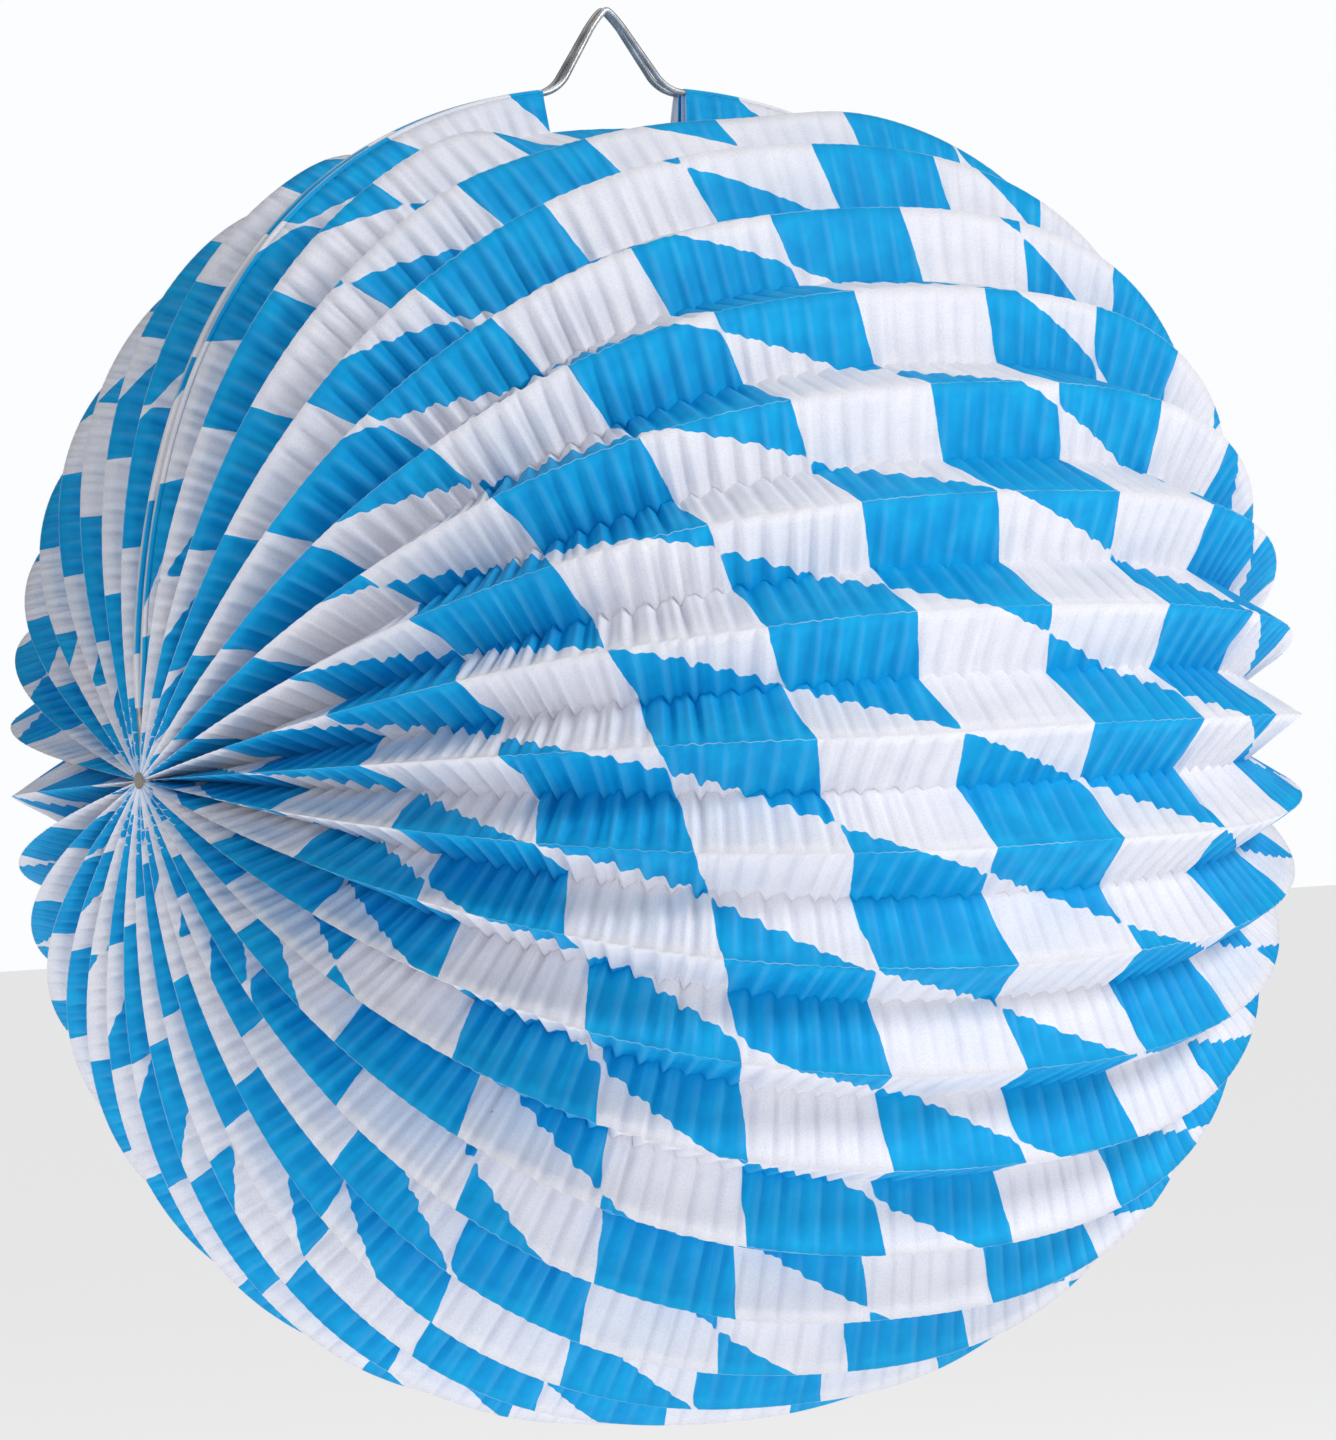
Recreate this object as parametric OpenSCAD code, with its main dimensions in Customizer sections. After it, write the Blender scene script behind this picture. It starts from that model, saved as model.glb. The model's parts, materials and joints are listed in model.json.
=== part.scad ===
// Accordion paper lantern: a globe of pleated paper that opens like a fan about its two poles.
// The origin is the peak of the wire hanger, where the lantern hangs, and +Z is up.
// The pole line lies along X, below the origin by hang_height; -Y is the front.
// The seam between the two end folds is at the top, under the hanger.
// Each pleat is one crest with its two sloping panels, from valley to valley.
// The modules draw round the middle of the globe; hung() moves them to the origin above.

/* [Globe] */
// Radius of the globe at its middle, out to the pleat crests
globe_radius = 125; // [90:1:180]
// Distance from the globe's centre to each pole
pole_distance = 110; // [80:1:160]
// Shoulder exponent of the outline: 1 is an ellipse, less is fuller
shoulder = 0.86; // [0.75:0.01:1]
// Number of spaces between neighbouring crests, round the whole globe
pleats = 37; // [33:1:40]
// How far gravity shifts the crests at mid height downwards, in degrees
pleat_sag = 2.5; // [0:0.1:4]

/* [Paper] */
// Width of one panel, from crest to valley
panel_width = 13.6; // [10:0.1:18]
// Thickness of the pleated paper, its crimping included
paper_thickness = 0.4; // [0.3:0.05:0.6]
// Space between neighbouring pleats where they meet in a valley
valley_gap = 0.3; // [0.2:0.05:0.5]
// Radius round the pole line where the pleats end
pole_clearance = 10; // [8:0.5:14]
// Depth of the hem that is folded back round the wire
hem_depth = 8; // [5:0.5:10]
// Radius round the pole line where the hems end
hem_end_radius = 30; // [28:1:45]

/* [Top opening] */
// Length of the cut-out in the end folds, along the pole line
opening_length = 32; // [24:1:44]
// Depth of the cut-out below the crests
opening_depth = 8; // [5:0.5:8.5]

/* [Wire bows and pins] */
// Diameter of the steel wire
wire_diameter = 1.2; // [1:0.1:1.4]
// Distance between the two bows at the seam, centre to centre
bow_spacing = 2.6; // [2.4:0.1:3.4]
// Height of the hanger's peak above the crests
hanger_height = 14.5; // [10:0.5:22]
// How far each hanger peak leans towards the other
peak_lean = 0.45; // [0:0.05:0.6]
// Diameter of the pin through the fold ends at each pole
pin_diameter = 1.0; // [0.8:0.1:1.2]
// Diameter of each pin head
pin_head_diameter = 3.0; // [2.4:0.1:4]
// Thickness of each pin head
pin_head_thickness = 0.5; // [0.4:0.1:0.8]

/* [Fits] */
// Space all round the pin inside each bow eye
eye_clearance = 0.08; // [0.05:0.01:0.1]
// Space between the wire and the paper that is folded round it
hem_clearance = 0.1; // [0.05:0.05:0.2]
// Space between parts that pass or turn beside each other
side_clearance = 0.15; // [0.15:0.05:0.3]

/* [Hidden] */

steps = 34;                                   // stations from pole to pole along a pleat
wire_sides = 8;
wire_r = wire_diameter / 2;
hang_height = globe_radius + hanger_height - wire_diameter;   // under side of the hanger peak
seam_half_angle = asin(bow_spacing / 2 / globe_radius);
pitch = (360 - 2 * seam_half_angle) / pleats;
curve_power = 2 / shoulder - 1;
hem_wall = wire_r + hem_clearance + paper_thickness;
wire_depth = hem_wall;                        // wire centre below the crest line
eye_major_r = pin_diameter / 2 + eye_clearance + wire_r;
eye_pitch = wire_diameter + 2 * side_clearance;   // from one bow's eye to the other's, along the pin
rear_eye_x = pole_distance - wire_depth;
front_eye_x = rear_eye_x - eye_pitch;
pin_inner_x = front_eye_x - wire_r - side_clearance - pin_head_thickness;
pin_outer_x = rear_eye_x + wire_r + side_clearance;
lateral_start = pole_clearance * sin(valley_angle(0)) - valley_gap / 2 - wire_r;

function two_digits(k) = k < 10 ? str("0", k) : str(k);
function pleat_name(k) = str("pleat_", two_digits(k));

// Angle of crest k round the pole line, from straight up towards the front (-Y).
function crest_angle(k) = seam_half_angle + k * pitch + pleat_sag * sin(k * pitch);
function half_angle(k) = (crest_angle(k + 1) - crest_angle(k)) / 2;
function valley_angle(k) = crest_angle(k) + half_angle(k);

// The crest outline in its own plane: [along the pole line, distance from it], t from 0 to 180.
function signed_power(v, p) = sign(v) * pow(abs(v), p);
function outline(t) = [
    -pole_distance * signed_power(cos(t), shoulder),
    globe_radius * pow(sin(t), shoulder)];
function outline_normal(t) = let (
    p = outline(t),
    g = [signed_power(p[0] / pole_distance, curve_power) / pole_distance,
         pow(p[1] / globe_radius, curve_power) / globe_radius])
    g / norm(g);
function outline_inside(t, depth) = outline(t) - depth * outline_normal(t);
function t_at_radius(r) = asin(pow(r / globe_radius, 1 / shoulder));
function t_at_x(x) = acos(pow(x / pole_distance, 1 / shoulder));

// Depth of a valley below the crest outline: the panel keeps its width while the gap widens.
function valley_depth(t, half) = let (
    r = outline(t)[1],
    n = outline_normal(t)[1],
    q = 4 * r * pow(sin(half / 2), 2))
    (q * n + sqrt(pow(q * n, 2) - 4 * (q * r - pow(panel_width, 2)))) / 2;

// A point at a depth below the crest outline, turned by an angle round the pole line.
function turned(p, angle) = [p[0], -p[1] * sin(angle), p[1] * cos(angle)];
// A point at a depth below the outline, moved sideways towards the front.
function sideways(p, y) = [p[0], -y, sqrt(pow(p[1], 2) - y * y)];

function degrees_of(length, radius) = length / radius * 180 / PI;

// A tube of closed cross-sections, each a list of the same number of points.
module skin(sections, cap) {
    n = len(sections[0]);
    last = len(sections) - 1;
    sides = [for (i = [0 : last - 1], j = [0 : n - 1], half = [0, 1]) let (
        a = i * n + j,
        b = i * n + (j + 1) % n)
        half == 0 ? [a, b, b + n] : [a, b + n, a + n]];
    first_cap = [for (f = cap) [f[2], f[1], f[0]]];
    last_cap = [for (f = cap) [for (v = f) v + last * n]];
    polyhedron([for (s = sections) each s], concat(sides, first_cap, last_cap));
}

// ---- Pleats ----

// One pleat's cross-section at station t, in order: crest, front valley, rear valley.
function pleat_section(k, t) = let (
    ahead = half_angle(k),
    behind = half_angle(k - 1),
    r = outline(t)[1],
    crest = crest_angle(k),
    wall = min(paper_thickness, 0.35 * r * sin(ahead)),
    ridge = wall * panel_width / (r * sin(ahead)),
    front = outline_inside(t, valley_depth(t, ahead)),
    rear = outline_inside(t, valley_depth(t, behind)),
    gap_ahead = min(degrees_of(valley_gap / 2, front[1]), 0.12 * ahead),
    gap_behind = min(degrees_of(valley_gap / 2, rear[1]), 0.12 * behind),
    wall_ahead = min(degrees_of(wall * 1.2, front[1]), 0.5 * ahead),
    wall_behind = min(degrees_of(wall * 1.2, rear[1]), 0.5 * behind))
    [turned(outline(t), crest),
     turned(front, crest + ahead - gap_ahead),
     turned(front, crest + ahead - gap_ahead - wall_ahead),
     turned(outline_inside(t, ridge), crest),
     turned(rear, crest - behind + gap_behind + wall_behind),
     turned(rear, crest - behind + gap_behind)];

module hung() {
    translate([0, 0, -hang_height]) children();
}

module paper() {
    color([0.10, 0.55, 0.85]) hung() children();
}

// The box that cuts the lamp opening through the crests near the seam.
module opening_cut() {
    floor_z = globe_radius - opening_depth;
    translate([-opening_length / 2, -globe_radius / 2, floor_z])
        cube([opening_length, globe_radius, globe_radius]);
}

module whole_pleat(k) {
    start = t_at_radius(pole_clearance);
    skin([for (i = [0 : steps]) pleat_section(k, start + (180 - 2 * start) * i / steps)],
         [[0, 1, 3], [1, 2, 3], [0, 3, 5], [3, 4, 5]]);
}

module pleat(k) {
    paper() {
        if (k == 1 || k == pleats - 1)
            difference() {
                whole_pleat(k);
                opening_cut();
            }
        else
            whole_pleat(k);
    }
}

// ---- End folds: one panel, a crest folded round the wire, and a hem ----

function end_section(t) = let (
    bow_y = bow_spacing / 2,
    half = half_angle(0),
    valley = outline_inside(t, valley_depth(t, half)),
    gap = degrees_of(valley_gap / 2, valley[1]),
    wall = degrees_of(paper_thickness * 1.2, valley[1]),
    hem_y = side_clearance)
    [sideways(outline_inside(t, hem_depth), hem_y),
     sideways(outline_inside(t, hem_depth), hem_y + paper_thickness),
     sideways(outline_inside(t, paper_thickness), bow_y - wire_r - hem_clearance),
     sideways(outline_inside(t, paper_thickness), bow_y + wire_r + hem_clearance),
     turned(valley, valley_angle(0) - gap - wall),
     turned(valley, valley_angle(0) - gap),
     sideways(outline(t), bow_y + hem_wall),
     sideways(outline(t), max(hem_y, bow_y - hem_wall))];

module end_fold() {
    start = t_at_radius(hem_end_radius);
    difference() {
        skin([for (i = [0 : steps]) end_section(start + (180 - 2 * start) * i / steps)],
             [[0, 7, 2], [0, 2, 1], [7, 6, 3], [7, 3, 2], [6, 5, 4], [6, 4, 3]]);
        opening_cut();
    }
}

module front_end_fold() {
    paper() end_fold();
}

module rear_end_fold() {
    paper() mirror([0, 1, 0]) end_fold();
}

// ---- Wire bows ----

// Sideways place of the bow's wire, from beside the pin out to the hem.
function bow_side(r) = max(0, min(bow_spacing / 2,
    lateral_start + (r - pole_clearance) * sin(valley_angle(0)) * 0.95));

// The front bow dips inside the rear one near the pin, so that their eyes lie side by side.
function near_pin(r) = let (u = min(1, max(0, (24 - r) / 12))) u * u * (3 - 2 * u);

function bow_arc(t, inner) = let (
    r = outline(t)[1],
    p = outline_inside(t, wire_depth + (inner ? eye_pitch * near_pin(r) : 0)))
    [p[0], bow_side(r), p[1]];

// A quadratic curve from a to c that bends towards b.
function bend(a, b, c, n) = [for (i = [0 : n]) let (u = i / n)
    (1 - u) * (1 - u) * a + 2 * u * (1 - u) * b + u * u * c];

// The left half of the hanger: out of the hem, up the leg and round half of the peak.
function hanger_half() = let (
    side = bow_spacing / 2,
    top_side = side - peak_lean,
    foot = bow_arc(t_at_x(opening_length / 2 + 1), false),
    peak = [0, top_side, globe_radius + hanger_height - wire_r],
    heel = [foot[0] + 4.5, side, foot[2] + 0.3],
    shin = [foot[0] + 6, side, foot[2] + 3.4],
    brow = peak + [-1.7, 0, -1.9],
    crown = peak + [-0.6, 0, 0])
    concat(bend(foot, heel, shin, 6), bend(brow, crown, peak, 4));

function half_path(inner) = let (
    start = t_at_radius(eye_major_r + 0.2),
    end = t_at_x(opening_length / 2 + 3))
    concat([for (i = [0 : 26]) bow_arc(start + (end - start) * i / 26, inner)], hanger_half());

function mirrored(path) = [for (i = [len(path) - 2 : -1 : 0]) [-path[i][0], path[i][1], path[i][2]]];

function unit(v) = v / norm(v);

function ring(path, i) = let (
    last = len(path) - 1,
    along = unit(path[min(last, i + 1)] - path[max(0, i - 1)]),
    out = unit(cross(along, [0, 1, 0])),
    side = cross(out, along))
    [for (j = [0 : wire_sides - 1]) let (a = 360 * (j + 0.5) / wire_sides)
        path[i] + wire_r * (cos(a) * out + sin(a) * side)];

module bow(inner) {
    path = let (left = half_path(inner)) concat(left, mirrored(left));
    eye_x = inner ? front_eye_x : rear_eye_x;
    skin([for (i = [0 : len(path) - 1]) ring(path, i)],
         [for (j = [1 : wire_sides - 2]) [0, j, j + 1]]);
    for (x = [-eye_x, eye_x])
        translate([x, 0, 0])
            rotate([0, 90, 0])
                rotate_extrude($fn = 48)
                    translate([eye_major_r, 0])
                        circle(r = wire_r, $fn = 24);
}

module steel() {
    color([0.62, 0.63, 0.65]) hung() children();
}

module front_wire_bow() {
    steel() mirror([0, 1, 0]) bow(true);
}

module rear_wire_bow() {
    steel() bow(false);
}

// ---- Pole pins: each holds all the fold ends and both bow eyes ----

module pole_pin() {
    steel()
        translate([pin_inner_x, 0, 0])
            rotate([0, 90, 0]) {
                cylinder(h = pin_outer_x - pin_inner_x + pin_head_thickness,
                         d = pin_diameter, $fn = 32);
                cylinder(h = pin_head_thickness, d = pin_head_diameter, $fn = 32);
                translate([0, 0, pin_outer_x - pin_inner_x])
                    cylinder(h = pin_head_thickness, d = pin_head_diameter, $fn = 32);
            }
}

module right_pole_pin() {
    pole_pin();
}

module left_pole_pin() {
    mirror([1, 0, 0]) pole_pin();
}

front_wire_bow();
rear_wire_bow();
left_pole_pin();
right_pole_pin();
front_end_fold();
rear_end_fold();
for (k = [1 : pleats - 1])
    pleat(k);
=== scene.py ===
"""Accordion paper lantern.

One sheet of crimped, printed paper is folded into spaces that all run from pole to pole.
Each space is a piece of its own, from one crest down its valley and up to the next crest.
Two wire bows lie in the hems of the sheet's ends, and their peaks make the hanger.
Metres, +Z up, the pole line along X, the origin at the hanger's peak.
"""
import json
import math

import bmesh
import bpy
import numpy as np
from mathutils import Matrix, Vector

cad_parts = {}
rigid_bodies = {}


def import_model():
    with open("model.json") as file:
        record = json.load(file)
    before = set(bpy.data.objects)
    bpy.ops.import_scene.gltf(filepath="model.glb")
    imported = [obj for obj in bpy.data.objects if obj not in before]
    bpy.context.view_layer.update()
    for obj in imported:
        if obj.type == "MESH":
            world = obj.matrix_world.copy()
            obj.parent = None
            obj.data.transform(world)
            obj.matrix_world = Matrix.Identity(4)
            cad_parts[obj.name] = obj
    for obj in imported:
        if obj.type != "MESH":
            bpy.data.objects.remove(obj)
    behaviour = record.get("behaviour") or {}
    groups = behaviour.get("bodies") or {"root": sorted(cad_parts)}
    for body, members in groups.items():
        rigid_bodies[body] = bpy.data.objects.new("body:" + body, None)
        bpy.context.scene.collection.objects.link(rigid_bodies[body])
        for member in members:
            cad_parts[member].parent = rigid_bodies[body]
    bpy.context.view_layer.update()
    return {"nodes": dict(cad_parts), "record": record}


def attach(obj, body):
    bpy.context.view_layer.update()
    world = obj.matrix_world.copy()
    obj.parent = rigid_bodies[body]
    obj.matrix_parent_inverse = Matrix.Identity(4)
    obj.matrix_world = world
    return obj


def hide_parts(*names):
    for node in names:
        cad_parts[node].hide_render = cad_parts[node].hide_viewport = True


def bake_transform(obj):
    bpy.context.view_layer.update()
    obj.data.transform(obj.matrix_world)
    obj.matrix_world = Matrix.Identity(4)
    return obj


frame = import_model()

MM = 0.001

# ---- The lantern's sizes ----
JOINTS = frame["record"]["behaviour"]["joints"]
BODIES = [JOINTS[0]["parent"]] + [joint["child"] for joint in JOINTS]
SPACES = len(JOINTS)
CENTRE = Vector(JOINTS[0]["pos_m"])

GLOBE_RADIUS = 125 * MM
POLE_DISTANCE = 110 * MM
SHOULDER = 0.86                # power of the outline's curve; 1 would be a plain ellipse
PLEAT_SAG = math.radians(2.5)  # how far the crests at mid height droop
PANEL_WIDTH = 13.6 * MM
PAPER_THICKNESS = 0.18 * MM
CREST_THICKNESS_SHARE = 0.05   # part of the thickness that is left where there is no room
THICKNESS_LEVELS = 16
ROOM_SHARE = 0.45              # part of a space's width that its paper may fill
POLE_END_RADIUS = 1.2 * MM
LEAST_VALLEY_RADIUS = 0.3 * MM

# The bows and the hems round them.
WIRE_RADIUS = 0.6 * MM
WIRE_DEPTH = 1.1 * MM
BOW_SIDE = 1.3 * MM
BOW_SIDE_AT_PIN = 0.235 * MM
PIN_REACH = 10 * MM
BOW_SPREAD = 0.95
LEAST_END_RADIUS = 0.5 * MM
END_FOLD_SHARE = 0.47          # the most of the first space that an end fold takes up
HEM_RADIUS = 0.8 * MM
HEM_DEPTH = 8 * MM
HEM_END_RADIUS = 13 * MM
HANGER_HEIGHT = 14.5 * MM
PEAK_LEAN = 0.45 * MM
EYE_RADIUS = 1.18 * MM
EYE_PITCH = 1.5 * MM
EYE_GAP = 0.2 * MM
EYE_SWEEP = 5.6                # radians of wire round the pin
EYE_POINTS = 26
ARC_POINTS = 90
INNER_BOW_STEP = (24 * MM, 12 * MM)   # radius where the inner bow steps in, and over how much
FOOT_CLEARANCE = 1 * MM
# The hanger's bends: heel and shin from the foot, brow and crown from the peak, in millimetres.
HEEL = (4.2, 0, 0.2)
SHIN_ALONG = 6.6 * MM
SHIN_UP = 3.0 * MM
BROW = (-3.6, 0, -3.4)
CROWN = (-0.8, 0, 0)

# The opening for the lamp, and how the crests beside it sink: depth, middle, half length.
OPENING_LENGTH = 32 * MM
OPENING_SHARE = 0.5
OPENING_REACH = 38 * MM
SAG = {1: (11.8 * MM, -2 * MM, 36.5 * MM), 2: (2.9 * MM, -20 * MM, 36 * MM)}
VALLEY_LEAN = 0.85

# The print on the sheet's front end lies further along, and the ends have a margin.
END_PRINT_SHIFT = 3.4 * MM
END_PRINT_STRETCH = 0.12
END_PRINT_REACH = 40 * MM
END_MARGIN = 3.4 * MM

# ---- The paper's own unevenness: how much, and over what length it comes and goes ----
CREST_WANDER = (0.35 * MM, 160 * MM)   # in and out
CREST_SWAY = (0.0035, 190 * MM)        # radians round the pole line
CALM_POWER = 1.5                       # how fast both fade towards the poles
PITCH_WANDER = (0.22, 60 * MM)         # crimps along the sheet
HEIGHT_WANDER = (0.25, 23 * MM)        # share of a crimp's height
RIPPLE_TURN = (1.1, 31 * MM)           # radians of a ripple's wave
RIPPLE_WANDER = (0.4, 14 * MM)         # share of a ripple's height

# ---- The crimping ----
CRIMP_PITCH = 4.6 * MM
CRIMP_SPARE = 0.05
LEAST_KEPT = 0.45              # the least of its length that the crimped valley keeps
GROOVE_SHARPNESS = 0.22
CREST_CRIMP = 0.10
CREST_RIPPLE = 0.35
POLE_CREST_CALM = 0.75
POLE_CRIMP_GAIN = 0.5
CRIMP_HEIGHT = 0.85
RIPPLE_DEPTH = 0.25 * MM
RIPPLE_EVEN = 0.75
GRIP_POWER = 0.5
POLE_GRIP_POWER = 0.25
NEAR_POLE = (70 * MM, 50 * MM)     # where the crests start to grow calm, and over what length
GATHERING = (20 * MM, 60 * MM)     # where the crimps start to deepen, and over what length
FULL_CRIMP = 0.4 * MM          # crimp height where the painted highlight on the ridges and the painted shade in the grooves are fullest
FULL_CRIMP_RADIUS = 14 * MM

# How finely the outline and the paper are divided.
OUTLINE_POINTS = 6001
STATIONS = 760
ROWS = 10
HEM_ROWS = 22

SEAM_ANGLE = math.asin(BOW_SIDE / GLOBE_RADIUS)
PITCH_ANGLE = (2 * math.pi - 2 * SEAM_ANGLE) / SPACES


# ---- The outline of the crests, by length along the sheet from its middle ----
def outline_table():
    """Length along the crest, place along the pole line and radius, from pole to pole."""
    turn = np.linspace(0, math.pi, OUTLINE_POINTS)
    along = -POLE_DISTANCE * np.sign(np.cos(turn)) * np.abs(np.cos(turn)) ** SHOULDER
    radius = GLOBE_RADIUS * np.abs(np.sin(turn)) ** SHOULDER
    length = np.concatenate([[0], np.cumsum(np.hypot(np.diff(along), np.diff(radius)))])
    return length - length[-1] / 2, along, radius


LENGTH, ALONG, RADIUS = outline_table()
SHEET_END = float(-LENGTH[np.argmax(RADIUS > POLE_END_RADIUS)])


def outline(s):
    """Place, radius and outward normal of the crest outline at length s."""
    x = np.interp(s, LENGTH, ALONG)
    r = np.interp(s, LENGTH, RADIUS)
    power = 2 / SHOULDER - 1
    nx = np.sign(x) * np.abs(x / POLE_DISTANCE) ** power / POLE_DISTANCE
    nr = (r / GLOBE_RADIUS) ** power / GLOBE_RADIUS
    size = np.hypot(nx, nr)
    return x, r, nx / size, nr / size


def length_at_radius(radius):
    """The place along the sheet, in its left half, where the crests have a radius."""
    left = slice(0, len(RADIUS) // 2)
    return float(np.interp(radius, RADIUS[left], LENGTH[left]))


def grown(s, start, length):
    """0 up to a distance from the sheet's middle, then evenly up to 1 over a length."""
    return np.clip((np.abs(s) - start) / length, 0, 1)


def crest_angle(k):
    """Angle of crest k round the pole line, from straight up towards the front."""
    return SEAM_ANGLE + k * PITCH_ANGLE + PLEAT_SAG * math.sin(k * PITCH_ANGLE)


def drift(s, seed, wavelength):
    """A slow wander between about -1 and 1 along the sheet."""
    random = np.random.default_rng(seed)
    total = np.zeros_like(s)
    for octave in (1.0, 1.7, 2.9):
        total += np.sin(2 * math.pi * (s / wavelength * octave + random.random())) / octave
    return total / 1.9


def bow_side(r):
    """Sideways place of a bow's wire: beside the pin at the pole, out to the hem."""
    near_pin = BOW_SIDE_AT_PIN + (r - PIN_REACH) * math.sin(crest_angle(0.5)) * BOW_SPREAD
    return np.clip(near_pin, 0, BOW_SIDE)


def beside_opening(s):
    """1 in the middle of the sheet, where the paper sinks round the opening, 0 far from it."""
    return np.exp(-((s / OPENING_REACH) ** 4))


def crest_line(k, s):
    """Place, radius and angle of crest k at length s, with the paper's own unevenness."""
    x, r, nx, nr = outline(s)
    calm = (r / GLOBE_RADIUS) ** CALM_POWER
    if k in (0, SPACES):
        x, r = x - WIRE_DEPTH * nx, np.maximum(r - WIRE_DEPTH * nr, LEAST_END_RADIUS)
        side = np.arcsin(np.clip((bow_side(r) + HEM_RADIUS) / r, 0, 1))
        most = crest_angle(0) + END_FOLD_SHARE * (crest_angle(1) - crest_angle(0))
        angle = np.minimum(side, most)
        return x, r, angle if k == 0 else 2 * math.pi - angle
    from_seam = min(k, SPACES - k)
    dip = 0
    if from_seam in SAG:
        depth, middle, reach = SAG[from_seam]
        dip = depth * np.exp(-(((s - middle) / reach) ** 4))
    wander, wander_length = CREST_WANDER
    r = r - dip * np.clip(nr, 0, 1) + wander * calm * drift(s, 100 + k, wander_length)
    sway, sway_length = CREST_SWAY
    angle = crest_angle(k) + sway * calm * drift(s, 200 + k, sway_length)
    return x, r, angle


def round_axis(x, r, angle):
    """Points round the pole line, turned from straight up towards the front."""
    return np.stack([x, -r * np.sin(angle), r * np.cos(angle)], -1)


def valley_depth(s, half):
    """Depth of a valley under the crests, with each panel at its full width."""
    x, r, nx, nr = outline(s)
    q = 4 * r * np.sin(half / 2) ** 2
    root = (q * nr) ** 2 - 4 * (q * r - PANEL_WIDTH**2)
    return (q * nr + np.sqrt(np.maximum(root, 0))) / 2


def crimp_depth(s):
    """Depth of the crimping in the valleys, where the sheet is gathered most."""
    x, r, nx, nr = outline(LENGTH)
    depth = valley_depth(LENGTH, PITCH_ANGLE / 2)
    valley = np.hypot(np.gradient(x - depth * nx), np.gradient(r - depth * nr))
    crest = np.hypot(np.gradient(x), np.gradient(r))
    kept = np.clip(valley / np.maximum(crest, 1e-9), LEAST_KEPT, 1)
    gathered = CRIMP_PITCH / math.pi * np.sqrt((1 + CRIMP_SPARE) / kept - 1)
    return np.interp(s, LENGTH, gathered)


def crimp_count(s):
    """How many crimps lie between the sheet's middle and length s."""
    wander, length = PITCH_WANDER
    return s / CRIMP_PITCH + wander * drift(s, 7, length)


def crimp_wave(s):
    """The crimping's wave: broad rounded ridges with narrow grooves between them."""
    turn = 2 * math.pi * crimp_count(s)
    wander, length = HEIGHT_WANDER
    height = 1 + wander * drift(s, 8, length)
    return -(np.cos(turn) + GROOVE_SHARPNESS * np.cos(2 * turn)) * height


def panel_ripple(s):
    """Shallow ripples between the crimps, all over the panels."""
    slip, slip_length = RIPPLE_TURN
    turn = 4 * math.pi * crimp_count(s) + slip * drift(s, 9, slip_length)
    wander, length = RIPPLE_WANDER
    return RIPPLE_DEPTH * np.sin(turn) * (RIPPLE_EVEN + wander * drift(s, 10, length))


def crimping(s, to_valley):
    """How far the crimps and ripples lift the paper off its flat panels."""
    at_pole = grown(s, *NEAR_POLE)
    gathering = grown(s, *GATHERING)
    crest_grip = CREST_CRIMP * (1 - POLE_CREST_CALM * at_pole)
    power = GRIP_POWER + POLE_GRIP_POWER * at_pole
    grip = crest_grip + (1 - crest_grip) * to_valley**power
    height = CRIMP_HEIGHT * (1 + POLE_CRIMP_GAIN * gathering) * crimp_depth(s)
    even = CREST_RIPPLE * (1 - POLE_CREST_CALM * at_pole)
    spread = even + (1 - even) * np.sqrt(to_valley)
    return height * crimp_wave(s) * grip + (1 + gathering) * panel_ripple(s) * spread


# ---- Pieces ----
def finish_piece(obj, *materials):
    """Puts a finished piece in the scene with its materials."""
    for material in materials:
        obj.data.materials.append(material)
    bpy.context.scene.collection.objects.link(obj)
    return obj


def flat_sheet(rows, crease=None, cut_share=None):
    """A flat strip, x from -1 to 1 along it and y from 0 to 1 across it.

    crease is the y of a sharp fold, and cut_share the range of y that the opening takes up.
    """
    bm = bmesh.new()
    bmesh.ops.create_grid(bm, x_segments=STATIONS, y_segments=rows, size=1)
    bmesh.ops.translate(bm, vec=(0, 1, 0), verts=bm.verts)
    bmesh.ops.scale(bm, vec=(1, 0.5, 1), verts=bm.verts)
    if cut_share is not None:
        low, high = cut_share
        half = OPENING_LENGTH / 2 / SHEET_END
        planes = [((-half, 0, 0), (1, 0, 0)), ((half, 0, 0), (1, 0, 0))]
        planes += [((0, level, 0), (0, 1, 0)) for level in (low, high) if 0 < level < 1]
        for point, normal in planes:
            everything = bm.verts[:] + bm.edges[:] + bm.faces[:]
            bmesh.ops.bisect_plane(bm, geom=everything, plane_co=point, plane_no=normal, dist=1e-5)
        inside = []
        for face in bm.faces:
            middle = face.calc_center_median()
            if abs(middle.x) < half and low < middle.y < high:
                inside.append(face)
        bmesh.ops.delete(bm, geom=inside, context="FACES")
    bmesh.ops.reverse_faces(bm, faces=bm.faces)
    for face in bm.faces:
        face.smooth = True
    if crease is not None:
        for edge in bm.edges:
            edge.smooth = not all(abs(v.co.y - crease) < 1e-4 for v in edge.verts)
    mesh = bpy.data.meshes.new("strip")
    bm.to_mesh(mesh)
    bm.free()
    return mesh


def shaped(name, mesh, shape):
    """Folds a flat strip: shape gives every point's place and its place on the sheet."""
    flat = np.zeros(len(mesh.vertices) * 3)
    mesh.vertices.foreach_get("co", flat)
    flat = flat.reshape(-1, 3)
    points, sheet_place = shape(flat[:, 0] * SHEET_END, flat[:, 1])
    mesh.vertices.foreach_set("co", (points + np.array(CENTRE)).ravel())
    corner = np.zeros(len(mesh.loops), dtype=int)
    mesh.loops.foreach_get("vertex_index", corner)
    uv = mesh.uv_layers.new(name="sheet")
    uv.data.foreach_set("uv", sheet_place[corner].ravel())
    mesh.update()
    mesh.name = name
    return bpy.data.objects.new(name, mesh)


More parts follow.
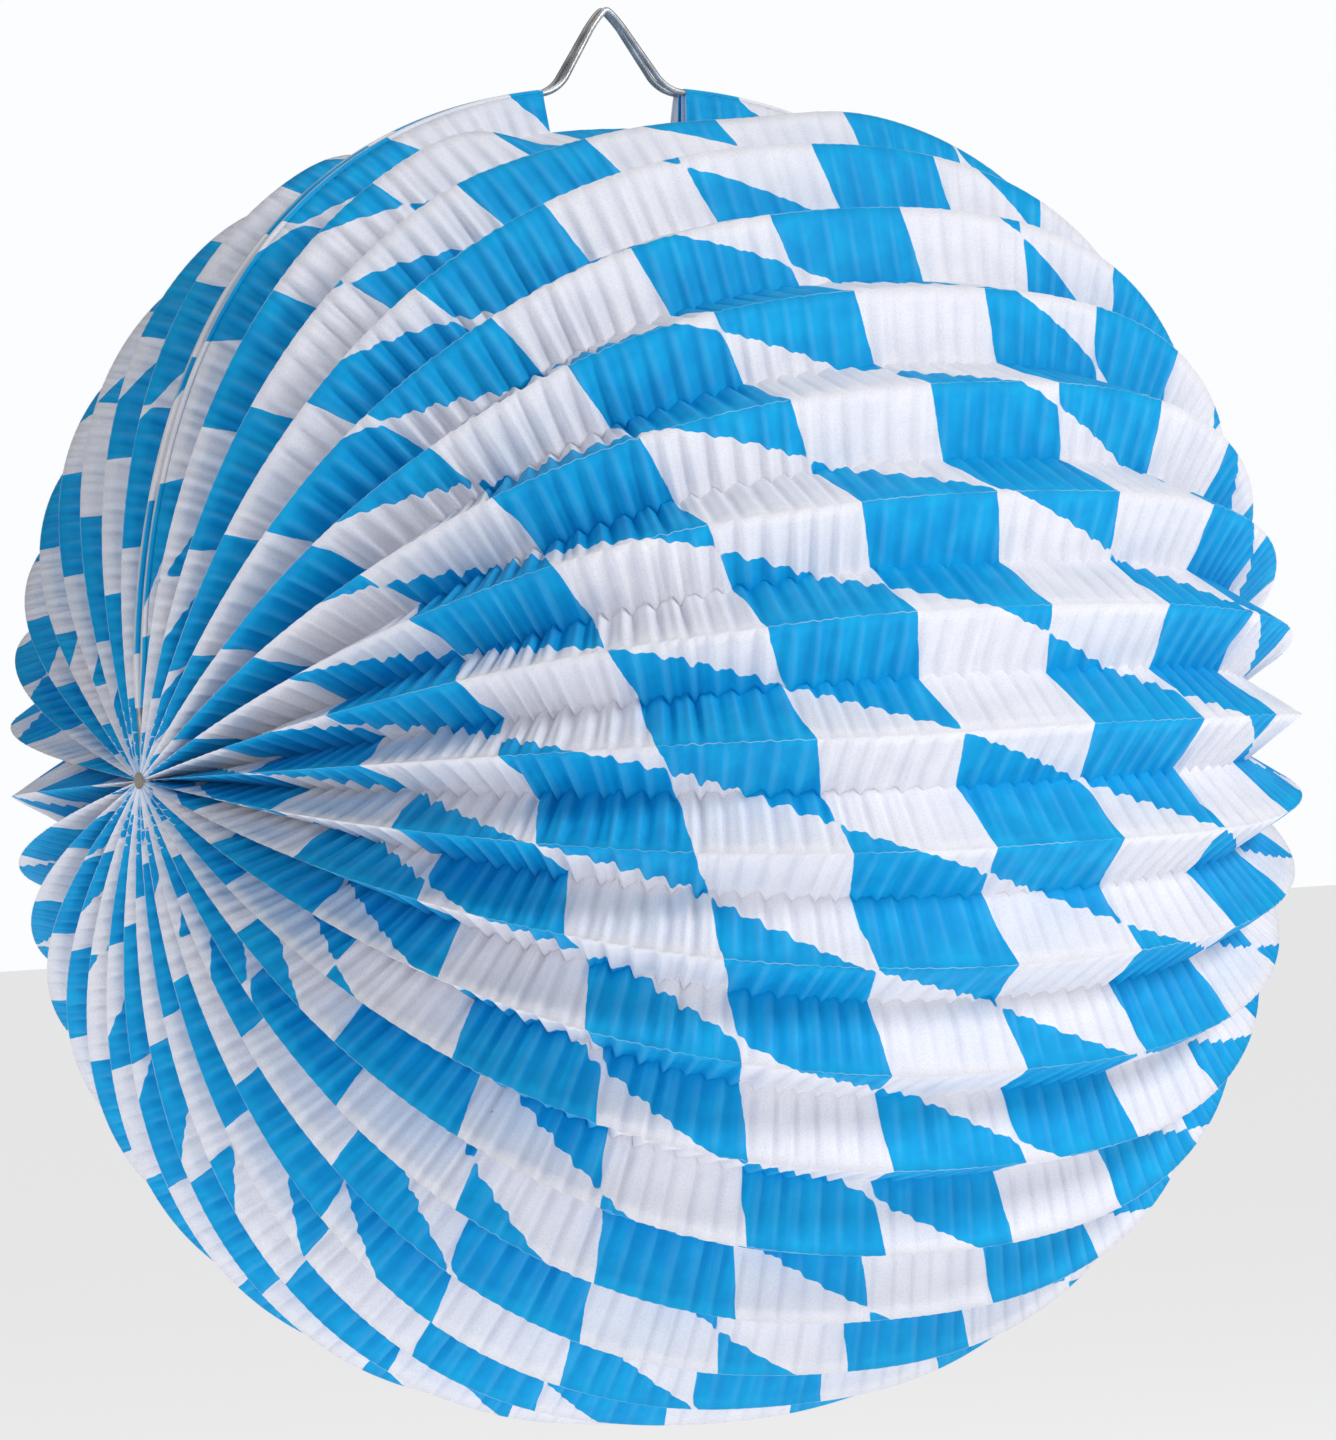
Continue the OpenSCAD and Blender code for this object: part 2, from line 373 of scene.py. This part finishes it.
def with_thickness(obj, room=None):
    """Gives the sheet its thickness, less where a point's share of room (0 to 1) is short."""
    group = obj.vertex_groups.new(name="thickness")
    if room is None:
        room = np.ones(len(obj.data.vertices))
    level = np.round(np.clip(room, 0, 1) * THICKNESS_LEVELS).astype(int)
    for step in range(THICKNESS_LEVELS + 1):
        members = np.nonzero(level == step)[0].tolist()
        if members:
            group.add(members, step / THICKNESS_LEVELS, "REPLACE")
    wall = obj.modifiers.new("paper thickness", "SOLIDIFY")
    wall.vertex_group = group.name
    wall.thickness_vertex_group = CREST_THICKNESS_SHARE
    wall.thickness = PAPER_THICKNESS
    wall.offset = -1
    wall.material_offset = 1
    wall.material_offset_rim = 1
    wall.use_even_offset = False
    return obj


def end_print_shift(s):
    """How far the print lies along the sheet's front end from its place further in."""
    along = np.clip(s + OPENING_LENGTH / 2, 0, END_PRINT_REACH)
    return END_PRINT_SHIFT + END_PRINT_STRETCH * along


def fold_space(k, printed, plain):
    """The two panels between crest k and crest k + 1, shaped between both crest lines and folded
    at their valley.
    """
    half = (crest_angle(k + 1) - crest_angle(k)) / 2
    middle = (crest_angle(k + 1) + crest_angle(k)) / 2
    share = room = crimp = np.zeros(0)

    def shape(s, v):
        nonlocal share, room, crimp
        near = round_axis(*crest_line(k, s))
        far = round_axis(*crest_line(k + 1, s))
        x, r, nx, nr = outline(s)
        depth = valley_depth(s, half)
        lean = {0: -1, SPACES - 1: 1}.get(k, 0) * VALLEY_LEAN * half * beside_opening(s)
        valley_radius = np.maximum(r - depth * nr, LEAST_VALLEY_RADIUS)
        valley = round_axis(x - depth * nx, valley_radius, middle + lean)
        to_valley = 1 - np.abs(2 * v - 1)
        crest = np.where((v < 0.5)[:, None], near, far)
        flat = crest + (valley - crest) * to_valley[:, None]
        angle = np.arctan2(-flat[:, 1], flat[:, 2])
        angle = middle + (angle - middle + math.pi) % (2 * math.pi) - math.pi
        start, end = crest_line(k, s)[2], crest_line(k + 1, s)[2]
        share = np.clip((angle - start) / (end - start), 0, 1)
        radius = np.hypot(flat[:, 1], flat[:, 2])
        room = ROOM_SHARE * PITCH_ANGLE * radius * to_valley / PAPER_THICKNESS
        wave = crimping(s, to_valley)
        crimp = wave * np.sign(v - 0.5) / FULL_CRIMP
        turn = -wave / np.maximum(radius, FULL_CRIMP_RADIUS)
        points = round_axis(flat[:, 0], radius, angle + turn)
        near_start = np.clip(1 - 2 * v, 0, 1) * (k == 0)
        near_finish = np.clip(2 * v - 1, 0, 1) * (k == SPACES - 1)
        across = (2 * k + 2 * v) * PANEL_WIDTH + END_MARGIN * (near_finish - near_start)
        return points, np.stack([s + end_print_shift(s) * near_start, across], -1)

    cut = {0: (0, OPENING_SHARE), SPACES - 1: (1 - OPENING_SHARE, 1)}.get(k)
    obj = shaped(f"paper_fold_{k + 1:02d}", flat_sheet(ROWS, 0.5, cut), shape)
    finish_piece(with_thickness(obj, room), printed, plain)
    # The crimp height, kept on the points for the painted highlight on the ridges and the painted
    # shade in the grooves.
    ridges = obj.data.attributes.new("crimp", "FLOAT", "POINT")
    ridges.data.foreach_set("value", np.clip(crimp, -1, 1).astype(np.float32))
    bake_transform(obj)
    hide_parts(f"pleat_{k:02d}" if k else "front_end_fold")


def hem(name, side, body, margin, plain):
    """The sheet's end, folded over the bow's wire and down inside the seam."""
    over = math.pi * HEM_RADIUS
    length = over + HEM_DEPTH

    def shape(s, v):
        x, r, nx, nr = outline(s)
        run = v * length
        turn = np.minimum(run / HEM_RADIUS, math.pi)
        below = WIRE_DEPTH - HEM_RADIUS * np.sin(turn) + np.maximum(run - over, 0)
        across = bow_side(r) + HEM_RADIUS * np.cos(turn)
        radius = r - below * nr
        up = np.sqrt(radius**2 - across**2)
        points = np.stack([x - below * nx, -side * across, up], -1)
        if side > 0:
            return points, np.stack([s + end_print_shift(s), -END_MARGIN - run], -1)
        return points, np.stack([s, 2 * SPACES * PANEL_WIDTH + END_MARGIN + run], -1)

    mesh = flat_sheet(HEM_ROWS, None, (-1, 2))
    keep = -length_at_radius(HEM_END_RADIUS)
    bm = bmesh.new()
    bm.from_mesh(mesh)
    ends = [f for f in bm.faces if abs(f.calc_center_median().x) * SHEET_END > keep]
    bmesh.ops.delete(bm, geom=ends, context="FACES")
    if side > 0:
        bmesh.ops.reverse_faces(bm, faces=bm.faces)
    bm.to_mesh(mesh)
    bm.free()
    obj = shaped(name, mesh, shape)
    finish_piece(with_thickness(obj), margin, plain)
    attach(obj, body)
    return obj


def bow_path(side):
    """Centre line of a bow: an eye, the hem's arc, the hanger's peak and back again."""
    inner = side > 0
    foot_x = -(OPENING_LENGTH / 2 + FOOT_CLEARANCE)
    end = float(np.interp(foot_x, ALONG, LENGTH))
    s = np.linspace(length_at_radius(EYE_RADIUS + EYE_GAP), end, ARC_POINTS)
    x, r, nx, nr = outline(s)
    step_radius, step_length = INNER_BOW_STEP
    u = np.clip((step_radius - r) / step_length, 0, 1)
    below = WIRE_DEPTH + (EYE_PITCH * u * u * (3 - 2 * u) if inner else 0)
    arc = np.stack([x - below * nx, bow_side(r), r - below * nr], -1)
    foot = arc[-1]
    peak = np.array([0, BOW_SIDE - PEAK_LEAN, GLOBE_RADIUS + HANGER_HEIGHT - WIRE_RADIUS])
    heel = foot + np.array(HEEL) * MM
    shin = np.array([foot[0] + SHIN_ALONG, BOW_SIDE, foot[2] + SHIN_UP])
    brow = peak + np.array(BROW) * MM
    crown = peak + np.array(CROWN) * MM

    def bend(a, b, c, count):
        """Points of a smooth bend from a to c that leans towards b."""
        u = np.linspace(0, 1, count)[:, None]
        return (1 - u) ** 2 * a + 2 * u * (1 - u) * b + u * u * c

    rise = np.concatenate([bend(foot, heel, shin, 12)[1:], bend(brow, crown, peak, 10)])
    eye_x = -(POLE_DISTANCE - WIRE_DEPTH - (EYE_PITCH if inner else 0))
    turn = np.linspace(-EYE_SWEEP, 0, EYE_POINTS)[:, None]
    loop = np.array([eye_x, 0, 0]) + EYE_RADIUS * np.concatenate(
        [0 * turn, np.sin(turn), np.cos(turn)], 1
    )
    left = np.concatenate([loop, arc, rise])
    right = left[::-1][1:] * np.array([-1, 1, 1])
    path = np.concatenate([left, right]) * np.array([1, -side, 1])
    return path + np.array(CENTRE)


def wire_bow(name, side, body, node, steel):
    """One bow with its eyes and its peak, as a round wire along its centre line."""
    curve = bpy.data.curves.new(name, "CURVE")
    curve.dimensions = "3D"
    curve.bevel_depth = WIRE_RADIUS
    curve.bevel_resolution = 4
    curve.use_fill_caps = True
    path = bow_path(side)
    spline = curve.splines.new("POLY")
    spline.points.add(len(path) - 1)
    spline.points.foreach_set("co", np.concatenate([path, np.ones((len(path), 1))], 1).ravel())
    spline.use_smooth = True
    obj = finish_piece(bpy.data.objects.new(name, curve), steel)
    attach(obj, body)
    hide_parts(node)


# ---- Materials ----
def new_material(name):
    """A material with its node tree and its shader."""
    material = bpy.data.materials.new(name)
    material.use_nodes = True
    tree = material.node_tree
    return material, tree, tree.nodes["Principled BSDF"]


def add(tree, kind, inputs=(), **settings):
    """A node with its settings and inputs; an input is a socket to join or a value."""
    node = tree.nodes.new(kind)
    for key, value in settings.items():
        setattr(node, key, value)
    for key, value in dict(inputs).items():
        if isinstance(value, bpy.types.NodeSocket):
            tree.links.new(value, node.inputs[key])
        else:
            node.inputs[key].default_value = value
    return node


def maths(tree, operation, *values):
    """The result of one sum on sockets or numbers."""
    return add(tree, "ShaderNodeMath", enumerate(values), operation=operation).outputs[0]


def ramp(tree, value, low, high, out_low=0.0, out_high=1.0):
    """A soft step from out_low at low to out_high at high."""
    inputs = {"Value": value, "From Min": low, "From Max": high}
    inputs.update({"To Min": out_low, "To Max": out_high})
    node = add(tree, "ShaderNodeMapRange", inputs, interpolation_type="SMOOTHSTEP")
    return node.outputs["Result"]


def mixed(tree, share, first, second):
    """A colour between the first (share 0) and the second (share 1)."""
    node = add(tree, "ShaderNodeMix", {0: share, 6: first, 7: second}, data_type="RGBA")
    return node.outputs[2]


def noise(tree, vector, scale, detail=3.0, stretch=(1, 1, 1)):
    """Soft noise from 0 to 1; a stretch below 1 draws it out along that direction."""
    moved = add(tree, "ShaderNodeMapping", {"Vector": vector, "Scale": stretch}).outputs[0]
    inputs = {"Vector": moved, "Scale": scale, "Detail": detail}
    return add(tree, "ShaderNodeTexNoise", inputs).outputs["Fac"]


# The print: two families of slanting lines divide the flat sheet into lozenges.
LOZENGE_START = (-38.9 * MM, 265.7 * MM)
SHALLOW_SIDE = (31.5 * MM, 13.9 * MM)
STEEP_SIDE = (8.5 * MM, 35.0 * MM)
PRINT_WANDER = 0.7 * MM

# Colours of ink, paper, wear, metal, and the painted highlight and painted shade of the crimps.
AZURE = (0.0, 0.312, 0.675, 1)
AZURE_LIGHT = (0.002, 0.388, 0.75, 1)
PAPER_WHITE = (0.82, 0.815, 0.865, 1)
PAPER_SHADE = (0.76, 0.76, 0.825, 1)
# Painted highlight for the crimps' ridges and painted shade for their grooves.
RIDGE_HIGHLIGHT = (0.60, 0.78, 0.88, 1)
GROOVE_SHADE = (0.0, 0.09, 0.27, 1)
WORN = (0.72, 0.78, 0.86, 1)
HEM_EDGE = (0.60, 0.56, 0.50, 1)
GRAIN_SHADE = (0.02, 0.18, 0.40, 1)
SPECK = (0.06, 0.07, 0.12, 1)
WIRE_BRIGHT = (0.60, 0.60, 0.60, 1)
WIRE_DULL = (0.36, 0.36, 0.37, 1)
PIN_BRIGHT = (0.46, 0.43, 0.37, 1)
PIN_DULL = (0.30, 0.28, 0.24, 1)

# How strongly the wear, the crimps' painted highlight and painted shade, the grain and the specks
# show in the paper's colour.
RIDGE_HIGHLIGHT_SHARE = 0.04
GROOVE_SHADE_SHARE = 0.09
GRAIN_SHARE = 0.13
SPECK_SHARE = 0.8


def lozenge_ink(tree, sheet):
    """1 where the sheet is printed, 0 where it is bare, with the corners a little rounded."""
    (ax, ay), (bx, by) = SHALLOW_SIDE, STEEP_SIDE
    area = ax * by - ay * bx
    wander = add(tree, "ShaderNodeTexNoise", {"Vector": sheet, "Scale": 260.0, "Detail": 2.0})
    shifted = maths(tree, "MULTIPLY_ADD", wander.outputs["Fac"], PRINT_WANDER, -PRINT_WANDER / 2)
    origin = (-LOZENGE_START[0], -LOZENGE_START[1], 0)
    place = add(tree, "ShaderNodeVectorMath", {0: sheet, 1: origin}, operation="ADD").outputs[0]
    waves = []
    for direction in ((by / area, -bx / area, 0), (-ay / area, ax / area, 0)):
        dot = add(tree, "ShaderNodeVectorMath", {0: place, 1: direction}, operation="DOT_PRODUCT")
        cell = maths(tree, "ADD", dot.outputs["Value"], maths(tree, "MULTIPLY", shifted, 30.0))
        waves.append(maths(tree, "SINE", maths(tree, "MULTIPLY", cell, math.pi)))
    product = maths(tree, "MULTIPLY", *waves)
    return ramp(tree, product, 0.0002, 0.0026)


def crest_wear(tree, sheet):
    """How far folding has worn the print to a thin pale line along the crests."""
    across = add(tree, "ShaderNodeSeparateXYZ", {0: sheet}).outputs["Y"]
    distance = maths(tree, "PINGPONG", across, PANEL_WIDTH)
    patchy = noise(tree, sheet, 90.0, 4.0)
    line = ramp(tree, distance, 0.05 * MM, 0.15 * MM, 1.0, 0.0)
    strength = ramp(tree, patchy, 0.35, 0.65, 0.08, 0.42)
    from_middle = maths(tree, "ABSOLUTE", maths(tree, "SUBTRACT", across, SPACES * PANEL_WIDTH))
    inside = maths(tree, "LESS_THAN", from_middle, (SPACES - 1) * PANEL_WIDTH)
    return maths(tree, "MULTIPLY", maths(tree, "MULTIPLY", line, strength), inside)


def hem_wear(tree, sheet):
    """How far handling has rubbed the print off the rounded edge over the bow's wire."""
    across = add(tree, "ShaderNodeSeparateXYZ", {0: sheet}).outputs["Y"]
    from_middle = maths(tree, "ABSOLUTE", maths(tree, "SUBTRACT", across, SPACES * PANEL_WIDTH))
    ridge = SPACES * PANEL_WIDTH + END_MARGIN + math.pi / 2 * HEM_RADIUS
    off_ridge = maths(tree, "ABSOLUTE", maths(tree, "SUBTRACT", from_middle, ridge))
    line = ramp(tree, off_ridge, 0.2 * MM, 0.5 * MM, 1.0, 0.0)
    patchy = noise(tree, sheet, 70.0, 4.0)
    return maths(tree, "MULTIPLY", line, ramp(tree, patchy, 0.3, 0.6, 0.35, 0.9))


def specks(tree, sheet):
    """Small dark fibres, one to every few centimetres."""
    inputs = {"Vector": sheet, "Scale": 55.0, "Randomness": 1.0}
    cells = add(tree, "ShaderNodeTexVoronoi", inputs)
    dot = ramp(tree, cells.outputs["Distance"], 0.008, 0.014, 1.0, 0.0)
    chance = add(tree, "ShaderNodeSeparateColor", {0: cells.outputs["Color"]}).outputs[0]
    return maths(tree, "MULTIPLY", dot, ramp(tree, chance, 0.62, 0.66))


def paper_surface(name, printed, through=0.0, worn_fold=False, glow=0.0):
    """Crimped paper with mottling, fibres and fine wrinkles.

    Printed paper has its ink worn on the crests, a painted highlight on the crimps' ridges and
    painted shade in their grooves. The back shows a share of the print through the sheet, and
    glows faintly with the light that comes through.
    """
    material, tree, shader = new_material(name)
    sheet = add(tree, "ShaderNodeUVMap", uv_map="sheet").outputs["UV"]
    mottle = noise(tree, sheet, 160.0, 5.0)
    white = mixed(tree, ramp(tree, mottle, 0.3, 0.7), PAPER_SHADE, PAPER_WHITE)
    azure = mixed(tree, ramp(tree, mottle, 0.35, 0.75), AZURE, AZURE_LIGHT)
    colour = white
    if printed or through:
        ink = lozenge_ink(tree, sheet)
        if not printed:
            ink = maths(tree, "MULTIPLY", ink, through)
        colour = mixed(tree, ink, white, azure)
    if printed:
        # Painted highlight on the crimps' ridges and painted shade in their grooves, by crimp
        # height.
        crimp = add(tree, "ShaderNodeAttribute", attribute_name="crimp").outputs["Fac"]
        colour = mixed(tree, ramp(tree, crimp, 0.0, 1.0, 0.0, RIDGE_HIGHLIGHT_SHARE), colour, RIDGE_HIGHLIGHT)
        colour = mixed(tree, ramp(tree, crimp, -1.0, 0.0, GROOVE_SHADE_SHARE, 0.0), colour, GROOVE_SHADE)
        colour = mixed(tree, crest_wear(tree, sheet), colour, WORN)
    if worn_fold:
        colour = mixed(tree, hem_wear(tree, sheet), colour, HEM_EDGE)
    grain = noise(tree, sheet, 2600.0, 2.0)
    colour = mixed(tree, ramp(tree, grain, 0.25, 0.60, GRAIN_SHARE, 0.0), colour, GRAIN_SHADE)
    speck_share = maths(tree, "MULTIPLY", specks(tree, sheet), SPECK_SHARE)
    colour = mixed(tree, speck_share, colour, SPECK)
    tree.links.new(colour, shader.inputs["Base Color"])
    if glow:
        tree.links.new(colour, shader.inputs["Emission Color"])
        shader.inputs["Emission Strength"].default_value = glow
    wrinkle = noise(tree, sheet, 420.0, 3.0, stretch=(1, 0.16, 1))
    relief = maths(tree, "MULTIPLY_ADD", wrinkle, 0.7, maths(tree, "MULTIPLY", grain, 0.3))
    inputs = {"Height": relief, "Distance": 0.16 * MM, "Strength": 0.38}
    bump = add(tree, "ShaderNodeBump", inputs)
    tree.links.new(bump.outputs[0], shader.inputs["Normal"])
    tree.links.new(ramp(tree, grain, 0.2, 0.8, 0.58, 0.72), shader.inputs["Roughness"])
    shader.inputs["Specular IOR Level"].default_value = 0.16
    return material


def drawn_steel(name, colour, dark, roughness):
    """Drawn wire with fine die marks and a little dulling."""
    material, tree, shader = new_material(name)
    place = add(tree, "ShaderNodeTexCoord").outputs["Object"]
    dull = noise(tree, place, 240.0, 4.0)
    marks = noise(tree, place, 900.0, 2.0, stretch=(0.12, 1, 0.12))
    surface = mixed(tree, ramp(tree, dull, 0.35, 0.7), dark, colour)
    tree.links.new(surface, shader.inputs["Base Color"])
    rough = ramp(tree, marks, 0.3, 0.7, roughness, roughness + 0.16)
    tree.links.new(rough, shader.inputs["Roughness"])
    shader.inputs["Metallic"].default_value = 1.0
    return material


printed_paper = paper_surface("printed paper", True)
paper_back = paper_surface("paper back", False, through=0.45, glow=0.10)
hem_margin = paper_surface("hem paper", True, worn_fold=True)
wire_steel = drawn_steel("drawn wire", WIRE_BRIGHT, WIRE_DULL, 0.42)
pin_metal = drawn_steel("pin metal", PIN_BRIGHT, PIN_DULL, 0.42)

# ---- Building the lantern ----
for k in range(SPACES):
    fold_space(k, printed_paper, paper_back)
hem("front_hem", 1, BODIES[0], hem_margin, paper_back)
rear_hem = hem("rear_hem", -1, BODIES[-1], hem_margin, paper_back)
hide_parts("rear_end_fold")
wire_bow("front_bow_wire", 1, BODIES[0], "front_wire_bow", wire_steel)
wire_bow("rear_bow_wire", -1, BODIES[-1], "rear_wire_bow", wire_steel)
for pin in ("left_pole_pin", "right_pole_pin"):
    mesh = frame["nodes"][pin].data
    mesh.materials.clear()
    mesh.materials.append(pin_metal)


# ---- Camera, floor and light ----
VIEW_TURN = math.radians(56.59)
VIEW_DROP = math.radians(4.59)
HANG_TURN = math.radians(6.44)
VIEW_DISTANCE = 14 * GLOBE_RADIUS
AIM_RIGHT = 3.4 * MM
AIM_UP = 6.3 * MM
LENS = 234.9
FLOOR_DEPTH = 0.14
SKY_SEEN = 1.0
SKY_GIVEN = 0.21


def view_axes():
    """The camera's forward, right and up, for a lantern hanging a little turned."""
    forward = Vector((
        math.cos(VIEW_TURN) * math.cos(VIEW_DROP),
        math.sin(VIEW_TURN) * math.cos(VIEW_DROP),
        -math.sin(VIEW_DROP),
    ))
    right = Vector((math.sin(VIEW_TURN), -math.cos(VIEW_TURN), 0))
    hang = Matrix.Rotation(HANG_TURN, 3, "X")
    return hang @ forward, hang @ right, hang @ right.cross(forward)


forward, right, up = view_axes()


def place_camera():
    """The camera, aimed a little past the globe's middle so that the hanger is in the frame."""
    camera = bpy.data.objects.new("camera", bpy.data.cameras.new("camera"))
    bpy.context.scene.collection.objects.link(camera)
    bpy.context.scene.camera = camera
    camera.data.lens = LENS
    camera.data.sensor_width = 36
    camera.data.clip_start = 0.05
    camera.location = CENTRE - forward * VIEW_DISTANCE
    aim = (CENTRE + right * AIM_RIGHT + up * AIM_UP - camera.location).normalized()
    side = aim.cross(up).normalized()
    turn = Matrix((side, side.cross(aim), -aim)).transposed()
    camera.rotation_euler = turn.to_euler()


def soft_light(name, offset, size, watts, colour=(1, 1, 1)):
    """A square soft box at an offset from the globe's middle, facing it."""
    data = bpy.data.lights.new(name, "AREA")
    data.size = size
    data.energy = watts
    data.color = colour
    light = bpy.data.objects.new(name, data)
    light.location = CENTRE + offset
    light.rotation_euler = (-offset).to_track_quat("-Z", "Y").to_euler()
    bpy.context.scene.collection.objects.link(light)


def floor(depth):
    """A wide pale floor under the hanging lantern."""
    bm = bmesh.new()
    bmesh.ops.create_grid(bm, x_segments=1, y_segments=1, size=40)
    bmesh.ops.translate(bm, vec=(0, 0, CENTRE.z - GLOBE_RADIUS - depth), verts=bm.verts)
    mesh = bpy.data.meshes.new("floor")
    bm.to_mesh(mesh)
    bm.free()
    material, tree, shader = new_material("pale floor")
    shader.inputs["Base Color"].default_value = (0.78, 0.78, 0.79, 1)
    shader.inputs["Roughness"].default_value = 0.9
    shader.inputs["Emission Color"].default_value = (1, 1, 1, 1)
    shader.inputs["Emission Strength"].default_value = 0.62
    finish_piece(bpy.data.objects.new("floor", mesh), material)


def soft_sky(seen, given):
    """A plain white surround: its brightness behind the object, and the light it gives."""
    world = bpy.data.worlds.new("studio")
    world.use_nodes = True
    tree = world.node_tree
    back = tree.nodes["Background"]
    back.inputs["Color"].default_value = (0.97, 0.98, 1.0, 1)
    path = add(tree, "ShaderNodeLightPath").outputs["Is Camera Ray"]
    strength = maths(tree, "MULTIPLY_ADD", path, seen - given, given)
    tree.links.new(strength, back.inputs["Strength"])
    bpy.context.scene.world = world


place_camera()
floor(FLOOR_DEPTH)
soft_sky(SKY_SEEN, SKY_GIVEN)
soft_light("key", -forward * 0.85 + right * 1.35 + up * 1.05, 0.5, 19.8)
soft_light("fill", -forward * 1.4 - right * 0.9 + up * 0.2, 1.2, 6.5, (0.93, 0.96, 1.0))
soft_light("top", Vector((0.1, 0.1, 1.5)), 1.2, 6)
bpy.context.scene.view_settings.view_transform = "Standard"

bpy.context.view_layer.update()
